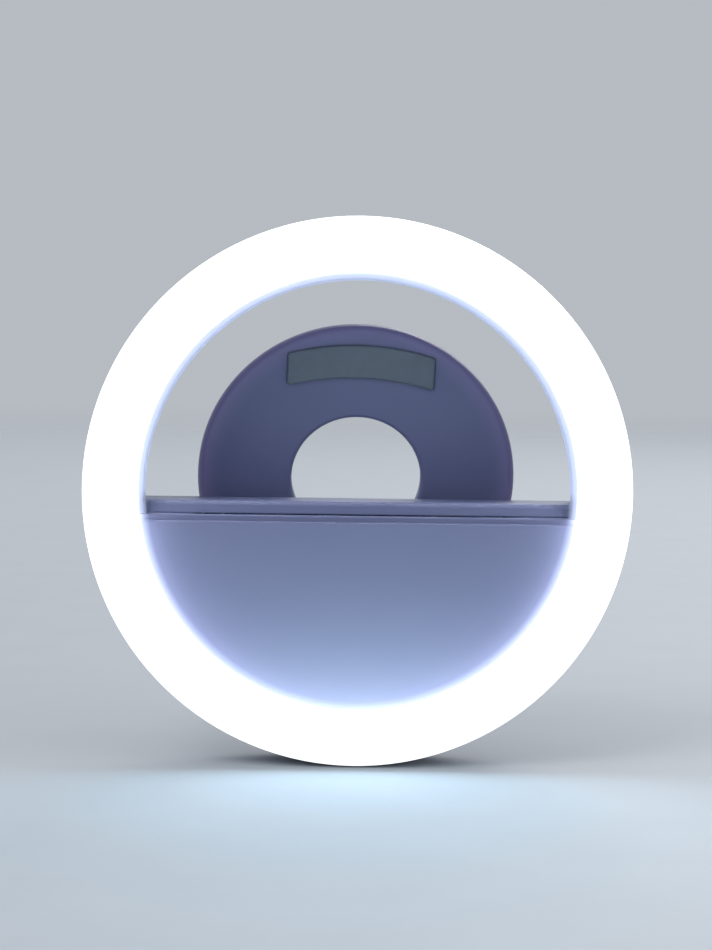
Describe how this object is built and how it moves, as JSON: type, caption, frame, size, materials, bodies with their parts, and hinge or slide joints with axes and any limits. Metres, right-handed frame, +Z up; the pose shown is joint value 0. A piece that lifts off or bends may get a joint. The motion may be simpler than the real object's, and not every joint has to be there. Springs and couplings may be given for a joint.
{
  "type": "ring light",
  "caption": "Round clip-on ring light: a glowing annular diffuser round a half-moon opening, a battery cover below it and a spring clip disc behind.",
  "frame": {"origin": "on the floor under the ring, at the middle of the overall width and depth", "axes": "+Z up through the ring's centre, -Y the way that the light shines, +X to the right seen from the front"},
  "size_m": [0.085, 0.0292, 0.085],
  "materials": {
    "shell_plastic": "satin moulded lavender plastic",
    "diffuser": "frosted milky white, lit from inside",
    "board_white": "white solder mask on fibre board",
    "led_package": "moulded LED package",
    "chip_black": "black moulded component",
    "capacitor_tan": "ceramic chip",
    "steel": "plain steel",
    "spring_steel": "drawn spring wire",
    "nickel": "nickel plate",
    "cell_jacket": "plain jacket",
    "lead_red": "insulation",
    "lead_black": "insulation",
    "switch_white": "moulded stem",
    "button_plastic": "satin moulded lavender plastic",
    "pad_rubber": "soft grey pad"
  },
  "bodies": {
    "light": {"rear_housing": "shell_plastic", "diffuser_ring": "diffuser", "led_board": "board_white", "leds": "led_package", "board_resistors": "chip_black", "controller_chip": "chip_black", "filter_capacitor": "capacitor_tan", "board_screws": "steel", "cell_upper": "cell_jacket", "cell_lower": "cell_jacket", "contact_bridge": "nickel", "contact_positive": "nickel", "contact_negative": "nickel", "contact_springs": "nickel", "lead_red": "lead_red", "lead_black": "lead_black", "switch_body": "chip_black", "pivot_pin": "steel", "torsion_spring": "spring_steel", "seat_pads": "pad_rubber"},
    "cover": {"battery_cover": "shell_plastic"},
    "button": {"power_button": "button_plastic", "switch_stem": "switch_white"},
    "clip": {"clip_lever": "shell_plastic", "clip_pad": "pad_rubber"}
  },
  "joints": [
    {"name": "clip_hinge", "type": "hinge", "parent": "light", "child": "clip", "pos_m": [0, 0.00475, 0.0365], "axis": [-1, 0, 0], "range_deg": [0, 28], "stiffness_Nm_per_rad": 0.15, "springref_deg": -34.38, "deforming": ["torsion_spring"]},
    {"name": "cover_slide", "type": "slide", "parent": "light", "child": "cover", "axis": [0, -1, 0], "range_m": [0, 0.02]},
    {"name": "button_press", "type": "slide", "parent": "light", "child": "button", "axis": [-1, 0, 0], "range_m": [0, 0.0004], "stiffness_N_per_m": 500, "springref_m": -0.0004}
  ]
}
